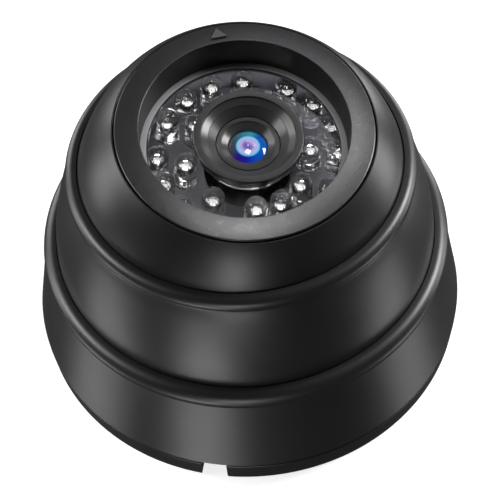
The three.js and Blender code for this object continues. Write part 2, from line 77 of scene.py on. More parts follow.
def smooth(points, steps=6):
    # A Catmull-Rom curve through every point.
    points = [Vector(p) for p in points]
    ends = [2 * points[0] - points[1]] + points + [2 * points[-1] - points[-2]]
    curve = []
    for i in range(1, len(ends) - 2):
        a, b, c, d = ends[i - 1:i + 3]
        for k in range(steps):
            t = k / steps
            p = b + 0.5 * t * ((c - a) + t * ((2 * a - 5 * b + 4 * c - d) + t * (3 * b - a - 3 * c + d)))
            curve.append(tuple(p))
    return curve + [tuple(points[-1])]


def roundCorners(points, loop, steps=5):
    rounded = []
    count = len(points)
    for i, point in enumerate(points):
        here = Vector(point[:2])
        fillet = point[2] if len(point) > 2 else 0
        if not fillet or (not loop and i in (0, count - 1)):
            rounded.append((here.x, here.y, 0.0))
            continue
        back = Vector(points[i - 1][:2]) - here
        ahead = Vector(points[(i + 1) % count][:2]) - here
        reach = min(fillet / math.tan(back.angle(ahead) / 2), back.length * 0.48, ahead.length * 0.48)
        convex = 1.0 if back.x * ahead.y - back.y * ahead.x < 0 else 0.0
        start = here + back.normalized() * reach
        end = here + ahead.normalized() * reach
        for k in range(steps + 1):
            t = k / steps
            p = (1 - t) ** 2 * start + 2 * t * (1 - t) * here + t ** 2 * end
            rounded.append((p.x, p.y, convex))
    return rounded


def addMesh(name, vertices, faces, edge=None, smoothAngle=creaseAngle):
    mesh = bpy.data.meshes.new(name)
    mesh.from_pydata(vertices, [], faces)
    if edge:
        mesh.attributes.new("edge", "FLOAT", "POINT").data.foreach_set("value", edge)
    mesh.polygons.foreach_set("use_smooth", [True] * len(mesh.polygons))
    mesh.set_sharp_from_angle(angle=math.radians(smoothAngle))
    made = bpy.data.objects.new(name, mesh)
    bpy.context.scene.collection.objects.link(made)
    return made


def turned(name, points, sides=160, loop=True, smoothAngle=creaseAngle):
    rings = roundCorners(points, loop)
    vertices = []
    edge = []
    index = []
    for r, z, sharp in rings:
        start = len(vertices)
        around = 1 if r < 1e-6 else sides
        for k in range(around):
            a = 2 * math.pi * k / sides
            vertices.append((r * math.cos(a) * mm, r * math.sin(a) * mm, z * mm))
            edge.append(sharp)
        index.append([start + (k if around > 1 else 0) for k in range(sides)])
    faces = []
    pairs = list(zip(index, index[1:]))
    if loop:
        pairs.append((index[-1], index[0]))
    for low, high in pairs:
        for k in range(sides):
            n = (k + 1) % sides
            corners = (low[k], low[n], high[n], high[k])
            face = [c for i, c in enumerate(corners) if c not in corners[:i]]
            if len(face) > 2:
                faces.append(face)
    return addMesh(name, vertices, faces, edge, smoothAngle)


def prism(name, outline, low, high):
    # A flat outline of (x, y) in millimetres, counter-clockwise, raised from low to high.
    count = len(outline)
    vertices = [(x * mm, y * mm, z * mm) for z in (low, high) for x, y in outline]
    faces = [list(range(count))[::-1], list(range(count, 2 * count))]
    for k in range(count):
        n = (k + 1) % count
        faces.append([k, n, n + count, k + count])
    return addMesh(name, vertices, faces)


def moved(piece, matrix):
    piece.data.transform(matrix)
    return piece


def freeze(piece):
    # Turns the evaluated piece, its modifiers included, into a plain mesh.
    bpy.context.view_layer.update()
    view = bpy.context.evaluated_depsgraph_get()
    mesh = bpy.data.meshes.new_from_object(piece.evaluated_get(view), depsgraph=view)
    piece.modifiers.clear()
    piece.data = mesh
    return piece


def cutAway(piece, *tools):
    for tool in tools:
        cut = piece.modifiers.new("cut", "BOOLEAN")
        cut.operation = "DIFFERENCE"
        cut.solver = "EXACT"
        cut.object = tool
    freeze(piece)
    for tool in tools:
        bpy.data.objects.remove(tool)
    piece.data.set_sharp_from_angle(angle=math.radians(creaseAngle))
    return piece


def joined(name, pieces):
    # One object from several, keeping each piece's materials.
    keep = pieces[0]
    with bpy.context.temp_override(active_object=keep, object=keep, selected_editable_objects=pieces,
                                   selected_objects=pieces):
        bpy.ops.object.join()
    keep.name = name
    return keep


# Node helpers

def addNode(tree, kind, inputs=None, **settings):
    made = tree.nodes.new(kind)
    for key, value in settings.items():
        setattr(made, key, value)
    for key, value in (inputs or {}).items():
        socket = made.inputs[key]
        if isinstance(value, bpy.types.NodeSocket):
            tree.links.new(value, socket)
        else:
            socket.default_value = value
    return made


def mathNode(tree, operation, a, b=0.5, c=0.0):
    return addNode(tree, "ShaderNodeMath", {0: a, 1: b, 2: c}, operation=operation).outputs[0]


def mixColour(tree, factor, a, b, blend="MIX"):
    made = addNode(tree, "ShaderNodeMix", {0: factor, 6: a, 7: b}, data_type="RGBA", blend_type=blend)
    return made.outputs[2]


def noise(tree, place, scale, detail):
    return addNode(tree, "ShaderNodeTexNoise", {"Vector": place, "Scale": scale, "Detail": detail}).outputs[0]


def newGroup(name, kind, sockets):
    group = bpy.data.node_groups.new(name, kind)
    for side, label, socketType, value in sockets:
        socket = group.interface.new_socket(name=label, in_out=side, socket_type=socketType)
        if value is not None:
            socket.default_value = value
    return group, group.nodes.new("NodeGroupInput"), group.nodes.new("NodeGroupOutput")


# Shared effects

skinSizes = {
    "cloudScale": 55.0, "cloudShade": 0.5, "rubScale": 420.0, "edgeShade": 0.55, "edgeRough": -0.1,
    "grainShade": 0.5, "grainRough": 0.12,
}


def mouldedSkinGroup(s):
    # Spark-eroded grain, faint handling marks and slightly burnished edges on moulded plastic.
    group, given, result = newGroup("mouldedSkin", "ShaderNodeTree", [
        ("INPUT", "Vector", "NodeSocketVector", None),
        ("INPUT", "Colour", "NodeSocketColor", (0.01, 0.01, 0.01, 1)),
        ("INPUT", "Roughness", "NodeSocketFloat", 0.45),
        ("INPUT", "Grain", "NodeSocketFloat", 5200.0),
        ("INPUT", "Marks", "NodeSocketFloat", 0.08),
        ("INPUT", "Edge", "NodeSocketFloat", 0.0),
        ("OUTPUT", "Colour", "NodeSocketColor", None),
        ("OUTPUT", "Roughness", "NodeSocketFloat", None),
        ("OUTPUT", "Height", "NodeSocketFloat", None),
    ])
    at = given.outputs
    grain = noise(group, at["Vector"], at["Grain"], 2.0)
    cloud = noise(group, at["Vector"], s["cloudScale"], 4.0)
    rub = noise(group, at["Vector"], s["rubScale"], 3.0)
    worn = mathNode(group, "MULTIPLY", at["Edge"], rub)
    shade = mathNode(group, "MULTIPLY_ADD", mathNode(group, "SUBTRACT", cloud), s["cloudShade"], 1.0)
    light = mathNode(group, "MULTIPLY_ADD", worn, s["edgeShade"], shade)
    speck = mathNode(group, "MULTIPLY_ADD", mathNode(group, "SUBTRACT", grain), s["grainShade"], light)
    tint = addNode(group, "ShaderNodeCombineColor", {0: speck, 1: speck, 2: speck})
    colour = mixColour(group, 1.0, at["Colour"], tint.outputs[0], "MULTIPLY")
    drift = mathNode(group, "MULTIPLY", mathNode(group, "SUBTRACT", cloud), at["Marks"])
    rough = mathNode(group, "ADD", at["Roughness"], drift)
    rough = mathNode(group, "MULTIPLY_ADD", mathNode(group, "SUBTRACT", grain), s["grainRough"], rough)
    rough = mathNode(group, "MULTIPLY_ADD", worn, s["edgeRough"], rough)
    group.links.new(colour, result.inputs["Colour"])
    group.links.new(rough, result.inputs["Roughness"])
    group.links.new(grain, result.inputs["Height"])
    return group


def turningMarksGroup():
    # Fine rings left by a lathe, for metal and for turned plastic.
    group, given, result = newGroup("turningMarks", "ShaderNodeTree", [
        ("INPUT", "Vector", "NodeSocketVector", None),
        ("INPUT", "Pitch", "NodeSocketFloat", 9000.0),
        ("INPUT", "Roughness", "NodeSocketFloat", 0.3),
        ("INPUT", "Spread", "NodeSocketFloat", 0.15),
        ("OUTPUT", "Roughness", "NodeSocketFloat", None),
        ("OUTPUT", "Height", "NodeSocketFloat", None),
    ])
    at = given.outputs
    length = addNode(group, "ShaderNodeVectorMath", {0: at["Vector"]}, operation="LENGTH")
    ring = mathNode(group, "MULTIPLY", length.outputs["Value"], at["Pitch"])
    lines = addNode(group, "ShaderNodeTexNoise", {"W": ring, "Scale": 1.0, "Detail": 2.0},
                    noise_dimensions="1D")
    rough = mathNode(group, "MULTIPLY_ADD", mathNode(group, "SUBTRACT", lines.outputs[0]), at["Spread"],
                     at["Roughness"])
    group.links.new(rough, result.inputs["Roughness"])
    group.links.new(lines.outputs[0], result.inputs["Height"])
    return group


mouldedSkin = mouldedSkinGroup(skinSizes)
turningMarks = turningMarksGroup()


# Materials

def newMaterial(name):
    material = bpy.data.materials.new(name)
    material.use_nodes = True
    tree = material.node_tree
    tree.nodes.clear()
    output = tree.nodes.new("ShaderNodeOutputMaterial")
    shader = tree.nodes.new("ShaderNodeBsdfPrincipled")
    tree.links.new(shader.outputs[0], output.inputs[0])
    return material, tree, shader, output


def objectSpace(tree, centre=None, turn=None):
    coordinates = tree.nodes.new("ShaderNodeTexCoord").outputs["Object"]
    if centre is None:
        return coordinates
    settings = {"Vector": coordinates, "Location": centre}
    if turn is not None:
        settings["Rotation"] = turn
    return addNode(tree, "ShaderNodeMapping", settings, vector_type="TEXTURE").outputs[0]


def plastic(name, colour, roughness, grain=5200.0, marks=0.08, bump=0.25, specular=0.5):
    material, tree, shader, _ = newMaterial(name)
    edge = addNode(tree, "ShaderNodeAttribute", attribute_name="edge")
    skin = addNode(tree, "ShaderNodeGroup", node_tree=mouldedSkin)
    tree.links.new(objectSpace(tree), skin.inputs["Vector"])
    tree.links.new(edge.outputs["Fac"], skin.inputs["Edge"])
    skin.inputs["Colour"].default_value = (*colour, 1)
    skin.inputs["Roughness"].default_value = roughness
    skin.inputs["Grain"].default_value = grain
    skin.inputs["Marks"].default_value = marks
    relief = addNode(tree, "ShaderNodeBump", {"Strength": bump, "Distance": 0.00005,
                                              "Height": skin.outputs["Height"]})
    tree.links.new(skin.outputs["Colour"], shader.inputs["Base Color"])
    tree.links.new(skin.outputs["Roughness"], shader.inputs["Roughness"])
    tree.links.new(relief.outputs[0], shader.inputs["Normal"])
    shader.inputs["Specular IOR Level"].default_value = specular
    return material


def metal(name, colour, roughness, spreadValue=0.15, centre=(0, 0, 0), anisotropic=0.0, metallic=1.0):
    material, tree, shader, _ = newMaterial(name)
    marks = addNode(tree, "ShaderNodeGroup", node_tree=turningMarks)
    tree.links.new(objectSpace(tree, centre), marks.inputs["Vector"])
    marks.inputs["Roughness"].default_value = roughness
    marks.inputs["Spread"].default_value = spreadValue
    relief = addNode(tree, "ShaderNodeBump", {"Strength": 0.15, "Distance": 0.00003,
                                              "Height": marks.outputs["Height"]})
    shader.inputs["Base Color"].default_value = (*colour, 1)
    shader.inputs["Metallic"].default_value = metallic
    shader.inputs["Anisotropic"].default_value = anisotropic
    tree.links.new(marks.outputs["Roughness"], shader.inputs["Roughness"])
    tree.links.new(relief.outputs[0], shader.inputs["Normal"])
    return material


def clear(name, colour, roughness, ior):
    # Transparent plastic: lamps shine through it without a hard shadow.
    material, tree, shader, output = newMaterial(name)
    shader.inputs["Base Color"].default_value = (*colour, 1)
    shader.inputs["IOR"].default_value = ior
    shader.inputs["Transmission Weight"].default_value = 1.0
    smear = noise(tree, objectSpace(tree), 160.0, 4.0)
    rough = mathNode(tree, "MULTIPLY_ADD", smear, roughness, roughness * 0.5)
    tree.links.new(rough, shader.inputs["Roughness"])
    lamp = addNode(tree, "ShaderNodeBsdfTransparent", {"Color": (0.96, 0.96, 0.97, 1)})
    rays = tree.nodes.new("ShaderNodeLightPath")
    mix = addNode(tree, "ShaderNodeMixShader", {0: rays.outputs["Is Shadow Ray"], 1: shader.outputs[0],
                                                2: lamp.outputs[0]})
    tree.links.new(mix.outputs[0], output.inputs[0])
    return material


housingBlack = plastic("housingBlack", (0.0115, 0.0108, 0.0112), 0.38)
ballBlack = plastic("ballBlack", (0.0100, 0.0099, 0.0104), 0.36)
bezelBlack = plastic("bezelBlack", (0.0105, 0.0104, 0.0107), 0.34, grain=6400.0, marks=0.03)
# painted reflection: the ledge is the bezel's plastic made lighter, standing in for the sheen of the window edge
# beside it
ledgePaintedSheen = plastic("ledgePaintedSheen", (0.15, 0.15, 0.155), 0.6)
# painted shade: a darker, duller copy of the bezel plastic for the wall of the recess
recessPaintedShade = plastic("recessPaintedShade", (0.005, 0.005, 0.005), 0.42, grain=6400.0, marks=0.03, specular=0.28)
# lighter than the real wall: it stands in for a reflection in the window that the recess hides from the card
cavityGrey = plastic("cavityGrey", (0.3, 0.285, 0.34), 0.6, bump=0.1)
# painted highlight: the index mark is the bezel's black plastic made lighter, standing in for the light on its
# raised faces
markPaintedLight = plastic("markPaintedLight", (0.045, 0.045, 0.046), 0.4)
# painted light: the hood's flat rim is its black plastic made lighter where it faces up to the lamps
rimPaintedLight = plastic("rimPaintedLight", (0.024, 0.024, 0.024), 0.35, grain=7000.0, bump=0.15)
# also painted shade on the window pane's clear side wall
innerBlackAndPaintedShade = plastic("innerBlackAndPaintedShade", (0.006, 0.006, 0.0062), 0.6)
hoodBlack = plastic("hoodBlack", (0.009, 0.009, 0.0092), 0.3, grain=7000.0, bump=0.15)
rubberBlack = plastic("rubberBlack", (0.018, 0.018, 0.018), 0.78, grain=2600.0, marks=0.2, bump=0.5)
boardBlack = plastic("boardBlack", (0.013, 0.012, 0.016), 0.5, grain=1800.0, marks=0.15, bump=0.2)
socketWhite = plastic("socketWhite", (0.62, 0.59, 0.52), 0.5, grain=3000.0)
chipBlack = plastic("chipBlack", (0.01, 0.01, 0.014), 0.12, grain=900.0, bump=0.02)
zincSteel = metal("zincSteel", (0.62, 0.62, 0.63), 0.3, 0.2)
leadSilver = metal("leadSilver", (0.8, 0.795, 0.79), 0.1, 0.1)
# painted highlight: the LED dies are made white to stand in for their glints
chipPaintedGlint = plastic("chipPaintedGlint", (0.9, 0.9, 0.88), 0.4, grain=900.0, bump=0.02)
clearWindow = clear("clearWindow", (1.0, 1.0, 1.0), 0.03, 1.49)
clearLed = clear("clearLed", (0.99, 0.995, 1.0), 0.01, 1.53)


def turnedConeMaterial():
    # The inside of the hood and the lens rings: black anodised, with the fan of light that turning gives.
    material, tree, shader, _ = newMaterial("turnedCone")
    marks = addNode(tree, "ShaderNodeGroup", node_tree=turningMarks)
    tree.links.new(objectSpace(tree, tuple(lensPoint)), marks.inputs["Vector"])
    marks.inputs["Pitch"].default_value = 12000.0
    marks.inputs["Roughness"].default_value = 0.34
    marks.inputs["Spread"].default_value = 0.2
    tangent = addNode(tree, "ShaderNodeTangent", direction_type="RADIAL", axis="Z")
    relief = addNode(tree, "ShaderNodeBump", {"Strength": 0.2, "Distance": 0.00002,
                                              "Height": marks.outputs["Height"]})
    shader.inputs["Base Color"].default_value = (0.055, 0.054, 0.053, 1)
    shader.inputs["Metallic"].default_value = 0.45
    shader.inputs["Anisotropic"].default_value = 0.85
    shader.inputs["Anisotropic Rotation"].default_value = 0.25
    tree.links.new(marks.outputs["Roughness"], shader.inputs["Roughness"])
    tree.links.new(tangent.outputs[0], shader.inputs["Tangent"])
    tree.links.new(relief.outputs[0], shader.inputs["Normal"])
    return material


def fillRamp(node, stops):
    ramp = node.color_ramp
    while len(ramp.elements) < len(stops):
        ramp.elements.new(1.0)
    for element, (place, colour) in zip(ramp.elements, stops):
        element.position = place
        element.color = (*colour, 1)


def paintedReflectionGlassMaterial(radius):
    # A coated front element with its coating's reflection painted on: the colour goes round from blue to violet,
    # teal and back, with a pale painted highlight at the pupil.
    material, tree, shader, _ = newMaterial("paintedReflectionGlass")
    local = objectSpace(tree, tuple(lensPoint), tuple(headMatrix.to_euler()))
    split = addNode(tree, "ShaderNodeSeparateXYZ", {0: local})
    flat = addNode(tree, "ShaderNodeCombineXYZ", {0: split.outputs[0], 1: split.outputs[1]})
    distance = addNode(tree, "ShaderNodeVectorMath", {0: flat.outputs[0]}, operation="LENGTH")
    share = mathNode(tree, "DIVIDE", distance.outputs["Value"], radius * mm)
    angle = mathNode(tree, "ARCTAN2", split.outputs[1], split.outputs[0])
    turn = mathNode(tree, "MULTIPLY_ADD", angle, 0.5 / math.pi, 0.5)
    # painted reflection by angle: from the left, through the bottom, the right and the top, back to the left
    paintedCoatingReflection = addNode(tree, "ShaderNodeValToRGB", {0: turn})
    fillRamp(paintedCoatingReflection, [
        (0.0, (0.05, 0.055, 0.08)), (0.1, (0.02, 0.004, 0.2)), (0.2, (0.01, 0.01, 0.32)),
        (0.3, (0.0, 0.07, 0.45)), (0.5, (0.0, 0.12, 0.5)), (0.6, (0.005, 0.1, 0.4)),
        (0.68, (0.04, 0.3, 0.36)), (0.8, (0.05, 0.16, 0.17)), (0.9, (0.05, 0.07, 0.09)),
        (1.0, (0.05, 0.055, 0.08)),
    ])
    # painted highlight at the pupil, by distance from the middle
    paintedPupilHighlight = addNode(tree, "ShaderNodeValToRGB", {0: share})
    fillRamp(paintedPupilHighlight, [
        (0.0, (0.9, 0.93, 1.0)), (0.035, (0.5, 0.45, 0.8)), (0.06, (0.16, 0.1, 0.45)),
        (0.2, (0.2, 0.14, 0.5)), (0.32, (0.45, 0.42, 0.75)), (0.46, (0.42, 0.5, 0.85)),
        (0.52, (0.12, 0.55, 0.85)), (0.58, (0.0, 0.2, 0.6)),
    ])
    inside = addNode(tree, "ShaderNodeMapRange", {0: share, 1: 0.53, 2: 0.6, 3: 1.0, 4: 0.0})
    rim = addNode(tree, "ShaderNodeMapRange", {0: share, 1: 0.84, 2: 0.92, 3: 0.0, 4: 1.0})
    colour = mixColour(tree, inside.outputs[0], paintedCoatingReflection.outputs[0], paintedPupilHighlight.outputs[0])
    colour = mixColour(tree, rim.outputs[0], colour, (0.02, 0.015, 0.06, 1))
    tree.links.new(mixColour(tree, 0.8, colour, (0, 0, 0, 1)), shader.inputs["Base Color"])
    tree.links.new(colour, shader.inputs["Emission Color"])
    shader.inputs["Emission Strength"].default_value = 0.75  # stands in for the light the coating sends back
    shader.inputs["Roughness"].default_value = 0.06
    shader.inputs["Coat Weight"].default_value = 1.0
    shader.inputs["Coat Roughness"].default_value = 0.02
    return material


turnedCone = turnedConeMaterial()


def dress(piece, material, body, slotName, *nodes):
    piece.data.materials.clear()
    piece.data.materials.append(material)
    return stand(piece, body, slotName, *nodes)


def stand(piece, body, slotName, *nodes):
    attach(piece, body)
    if nodes:
        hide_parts(*nodes)
    return piece


# Base plate: a dished moulding with an inner spigot, a hub, three lugs, the screw slots and the notch
baseSizes = {
    "radius": 50, "footRadius": 49.5, "height": 6, "floor": 2.4, "rim": 2.6,
    "spigotRadius": 44.9, "spigotWall": 1.4, "spigotHeight": 11, "hubRadius": 8, "hubTop": 9.3,
    "panelDepth": 0.8, "panelInner": 10, "panelOuter": 45.5,
    "cableHole": 5.2, "cablePlace": 26, "slotCircle": 33, "slotTurn": 30, "slotWidth": 4.4, "slotLength": 10,
    "notchWidth": 5.8, "notchDepth": 11, "notchAngle": 257.5, "notchRound": 1.1,
    "lugLow": 8.7, "lugHeight": 1.8, "lugSpan": 16,
}


def roundBar(length, width, steps=10):
    # A slot with round ends, along y.
    reach = (length - width) / 2
    top = [(x, y + reach) for x, y in arc(0, 0, width / 2, 0, 180, steps)]
    bottom = [(x, y - reach) for x, y in arc(0, 0, width / 2, 180, 360, steps)]
    return top + bottom


def basePlate(s):
    inner = s["radius"] - s["rim"]
    spigotInner = s["spigotRadius"] - s["spigotWall"]
    outline = [
        (0, 0), (s["panelInner"], 0, 0.4), (s["panelInner"] + 0.3, s["panelDepth"], 0.3),
        (s["panelOuter"] - 0.3, s["panelDepth"], 0.3), (s["panelOuter"], 0, 0.4),
        (s["footRadius"], 0, 0.7), (s["radius"], s["height"], 0.35), (inner, s["height"], 0.3),
        (inner, s["floor"], 0.5), (s["spigotRadius"], s["floor"], 0.4),
        (s["spigotRadius"], s["spigotHeight"], 0.4),
        (spigotInner, s["spigotHeight"], 0.4), (spigotInner, s["floor"], 0.5),
        (s["hubRadius"] + 1, s["floor"], 1), (s["hubRadius"], s["floor"] + 1),
        (s["hubRadius"], s["hubTop"], 0.4), (0, s["hubTop"]),
    ]
    plate = turned("basePlate", outline, sides=shellSides, loop=False)
    tools = [turned("cableHole", [(0, -1), (s["cableHole"], -1), (s["cableHole"], 4), (0, 4)], 64, False)]
    moved(tools[0], Matrix.Translation((0, s["cablePlace"] * mm, 0)))
    for k in range(3):
        bar = prism("slot", roundBar(s["slotLength"], s["slotWidth"]), -1, s["floor"] + 0.6)
        turn = Matrix.Rotation(math.radians(s["slotTurn"] + third * k), 4, "Z")
        tools.append(moved(bar, turn @ Matrix.Translation((s["slotCircle"] * mm, 0, 0))))
    half = s["notchWidth"] / 2
    flare = s["notchRound"]
    side = arc(half + flare, flare, flare, 270, 180, 6)
    notch = [(-half - flare, -1), (half + flare, -1)] + side + [(half, 12), (-half, 12)]
    notch += [(-x, z) for x, z in reversed(side)]
    channel = prism("notch", notch, 0, s["notchDepth"] + 3)
    upright = Matrix.Rotation(math.radians(90), 4, "Z") @ Matrix.Rotation(math.radians(90), 4, "X")
    turn = Matrix.Rotation(math.radians(s["notchAngle"]), 4, "Z")
    outward = Matrix.Translation(((s["radius"] - s["notchDepth"]) * mm, 0, 0))
    tools.append(moved(channel, turn @ outward @ upright))
    return cutAway(plate, *tools)


def lug(name, outer, inner, low, high, middle, span, steps=12):
    start, end = middle - span / 2, middle + span / 2
    outline = arc(0, 0, outer, start, end, steps) + arc(0, 0, inner, end, start, steps)
    return prism(name, outline, low, high)


basePiece = basePlate(baseSizes)
dress(basePiece, housingBlack, "base", "housing_black", "base_plate")
baseLugs = joined("baseLugs", [
    lug("lug", baseSizes["spigotRadius"] + 1.6, baseSizes["spigotRadius"] - 0.4, baseSizes["lugLow"],
        baseSizes["lugLow"] + baseSizes["lugHeight"], third * k, baseSizes["lugSpan"]) for k in range(3)])
dress(baseLugs, housingBlack, "base", "housing_black")
print("base made")

# Outer cover: a sloping skirt that ends in a rolled lip round the swivel ring
coverSizes = {
    "foot": 50, "bottom": 6.3, "shoulder": 46.3, "top": 29.75, "lip": 43.42, "lipRadius": 3,
    "bead": 2.6, "bulge": 0.4, "underside": -24,
    "wall": 2.2, "lugLow": 6.6, "lugHeight": 1.8, "lugSpan": 16, "lugInner": 45.3,
}


def outerCover(s):
    lipZ = s["top"] - s["lipRadius"]
    slope = (s["foot"] - s["shoulder"]) / (lipZ - s["bottom"])
    face = lambda z: s["foot"] - slope * (z - s["bottom"])
    inner = s["foot"] - s["wall"] - 0.3
    beadZ = s["top"] - s["bead"]
    beadR = face(beadZ) + s["bulge"] - s["bead"]
    bead = arc(beadR, beadZ, s["bead"], s["underside"], 90, 22)
    valley = bead[0][1] - 0.05
    outline = [
        (s["foot"] - 0.25, s["bottom"]), (s["foot"], s["bottom"] + 0.25), (face(14), 14), (face(20), 20),
        (face(valley), valley, 0.9), *bead[2:], (s["lip"] + 0.1, s["top"]), (s["lip"], s["top"] - 0.12),
        (s["lip"], s["top"] - 1.4, 0.3), (s["lip"] + 1.15, lipZ - 0.4, 0.6),
        (s["shoulder"] - s["wall"] + 0.4, lipZ - 3.5, 1), (inner, s["bottom"] + 5.5, 1), (inner, s["bottom"]),
    ]
    return turned("outerCover", outline, sides=shellSides)


coverPiece = outerCover(coverSizes)
dress(coverPiece, housingBlack, "cover", "housing_black", "outer_cover")
coverLugs = joined("coverLugs", [
    lug("lug", coverSizes["foot"] - coverSizes["wall"], coverSizes["lugInner"], coverSizes["lugLow"],
        coverSizes["lugLow"] + coverSizes["lugHeight"], third * k, coverSizes["lugSpan"]) for k in range(3)])
dress(coverLugs, housingBlack, "cover", "housing_black")
print("cover made")

# Swivel ring: a dished ring whose lip closes round the ball
ringSizes = {
    "low": 11.75, "skirt": 42.4, "waist": 43.28, "coverTop": 29.75, "centre": 42.5, "bore": 37.85,
    "mouthBore": 37.53, "bead": 2.0, "bulge": 0.2, "underside": -28,
    "top": 54.3, "lipRise": 11.5, "wall": 2.4, "flangeInner": 36, "pinHole": 2.3,
    "pinFrom": 34, "pinTo": 40.2,
    "lean": 5.0, "face": ((2.1, -0.5), (3.75, 5.3)),  # how far in from the waist, and height from the centre
}


def swivelRing(s):
    lipInner = math.sqrt(s["mouthBore"] ** 2 - s["lipRise"] ** 2)
    waist = s["waist"]
    beadZ = s["top"] - s["bead"]
    beadR = waist - s["lean"] + s["bulge"] - s["bead"]
    bead = arc(beadR, beadZ, s["bead"], s["underside"], 90, 20)
    valley = bead[0][1] - 0.05
    wall = smooth([
        (waist - 0.2, s["coverTop"] - 6), (waist, s["coverTop"]), (waist - 0.75, s["coverTop"] + 6.25),
        *[(waist - fall, s["centre"] + rise) for fall, rise in s["face"]], (waist - s["lean"] + 0.02, valley),
    ], 6)
    outline = [(s["skirt"], s["low"], 0.4)] + wall[:-1] + [(*wall[-1], 0.8), *bead[2:]] + [
        (lipInner + 0.12, s["top"]), (lipInner, s["top"] - 0.12), (lipInner, s["centre"] + s["lipRise"]),
        *arc(0, s["centre"], s["mouthBore"], 16, 10, 3), *arc(0, s["centre"], s["bore"], 8, 0, 4),
        (s["bore"], s["centre"] - 4), (waist - s["wall"] - 0.2, s["centre"] - 10.5, 3),
        (s["skirt"] - s["wall"], s["low"] + 4, 0.8), (s["flangeInner"], s["low"] + 2.4, 0.4),
        (s["flangeInner"], s["low"], 0.3),
    ]
    ring = turned("swivelRing", outline, sides=shellSides)
    tools = []
    for side in (0, math.pi):
        hole = turned("pinHole", [
            (0, s["pinFrom"]), (s["pinHole"], s["pinFrom"]), (s["pinHole"], s["pinTo"]), (0, s["pinTo"]),
        ], 32, False)
        place = Matrix.Translation((0, 0, s["centre"] * mm)) @ Matrix.Rotation(side, 4, "Z")
        tools.append(moved(hole, place @ Matrix.Rotation(math.pi / 2, 4, "Y")))
    cutAway(ring, *tools)
    return moved(ring, swivelMatrix)


dress(swivelRing(ringSizes), housingBlack, "swivel", "housing_black", "swivel_ring")
print("swivel ring made")

# Ball: a thin shell, open behind, with a seat for the head
ballSizes = {
    "radius": 37.4, "wall": 2, "rear": -12, "mouth": 27.85, "mouthEase": 0.33,
    "seatTop": 22.7, "seatBottom": 20, "seat": 26.5,
}


def ballShell(s):
    top = math.sqrt(s["radius"] ** 2 - (s["mouth"] + s["mouthEase"]) ** 2)
    inside = s["radius"] - s["wall"]
    latitude = lambda height, radius: math.degrees(math.asin(height / radius))
    outline = arc(0, 0, s["radius"], latitude(s["rear"], s["radius"]), latitude(top, s["radius"]), 40)
    outline += [
        (s["mouth"], top + 0.02, 0.25), (s["mouth"], s["seatTop"], 0.2), (s["seat"], s["seatTop"], 0.2),
        (s["seat"], s["seatBottom"], 0.2),
    ]
    outline += arc(0, 0, inside, latitude(s["seatBottom"], inside), latitude(s["rear"], inside), 24)
    return moved(turned("ballShell", outline, sides=shellSides), ballMatrix)


dress(ballShell(ballSizes), ballBlack, "ball", "ball_black", "ball_shell")
print("ball made")

# Head: bezel with its recess, window and the index mark
headSizes = {
    "bezelRadius": 27.55, "bezelEdge": 24.95, "bezelTop": 25.6, "opening": 22.4, "ledgeTop": 17.4,
    "ledgeBottom": 16.6, "ledgeRadius": 20.9, "skirt": 26.2, "cavity": 24.6, "skirtBottom": -5.85,
    "seatTop": 22.7, "clip": 18.7, "grooveDepth": 0.8, "markSide": 1.75, "markHeight": 0.4,
    "markInset": 0.35, "markFoot": 1.2, "markTip": 1.6, "markSunk": 0.2, "markSoft": 0.12,
    "windowBottom": 15.0, "windowShoulder": 16.1, "windowTop": 17.25, "hole": 10.9,
}


def bezel(s):
    groove = s["skirt"] - s["grooveDepth"]
    grooveLow, grooveHigh = s["clip"] - 0.15, s["clip"] + 0.95
    outline = [
        (s["skirt"], s["skirtBottom"], 0.3), (s["skirt"], grooveLow), (groove, grooveLow),
        (groove, grooveHigh), (s["skirt"], grooveHigh), (s["skirt"], s["seatTop"] + 0.3, 0.2),
        (s["bezelRadius"], s["seatTop"] + 0.3, 0.2), (s["bezelRadius"], s["bezelEdge"], 0.3),
        (s["opening"], s["bezelTop"], 0.16), (s["opening"] - 0.1, s["ledgeTop"], 0.15),
        (s["ledgeRadius"], s["ledgeTop"] - 0.1, 0.15), (s["ledgeRadius"], s["ledgeBottom"]),
        (s["cavity"], s["ledgeBottom"], 0.3), (s["cavity"], s["skirtBottom"], 0.3),
    ]
    made = turned("bezelRing", outline, sides=shellSides)
    made.data.materials.append(bezelBlack)
    made.data.materials.append(ledgePaintedSheen)
    made.data.materials.append(cavityGrey)
    made.data.materials.append(recessPaintedShade)
    for face in made.data.polygons:
        z = face.center.z / mm
        # the ledge's top takes the painted sheen
        if abs(z - s["ledgeTop"]) < 0.3 and face.normal.z > 0.8:
            face.material_index = 1
        elif Vector(face.center[:2]).length < (s["cavity"] + 0.05) * mm and z < s["ledgeBottom"] + 0.05:
            face.material_index = 2
        # the recess wall takes the painted shade
        elif Vector(face.center[:2]).length < (s["opening"] + 0.02) * mm and z < s["bezelTop"] - 0.2:
            face.material_index = 3
    return moved(made, headMatrix)


def indexMark(s):
    # A small raised triangle on the bezel's face.
    side = s["markSide"]
    place = (s["bezelRadius"] + s["opening"]) / 2 - s["markInset"]
    corners = [(-side, place - s["markFoot"]), (side, place - s["markFoot"]), (0, place + s["markTip"])]
    low = s["bezelEdge"] - s["markSunk"]
    mark = prism("indexMark", corners, low, s["bezelTop"] + s["markHeight"] - 0.1)
    lean = math.atan2(s["bezelTop"] - s["bezelEdge"], s["bezelRadius"] - s["opening"])
    pivot = Matrix.Translation((0, place * mm, low * mm))
    moved(mark, pivot @ Matrix.Rotation(-lean, 4, "X") @ pivot.inverted())
    soften = mark.modifiers.new("soften", "BEVEL")
    soften.width = s["markSoft"] * mm
    soften.segments = 2
    return moved(freeze(mark), headMatrix)


stand(bezel(headSizes), "head", "bezel_black", "bezel")
# the index mark takes the painted highlight
dress(indexMark(headSizes), markPaintedLight, "head", "bezel_black")


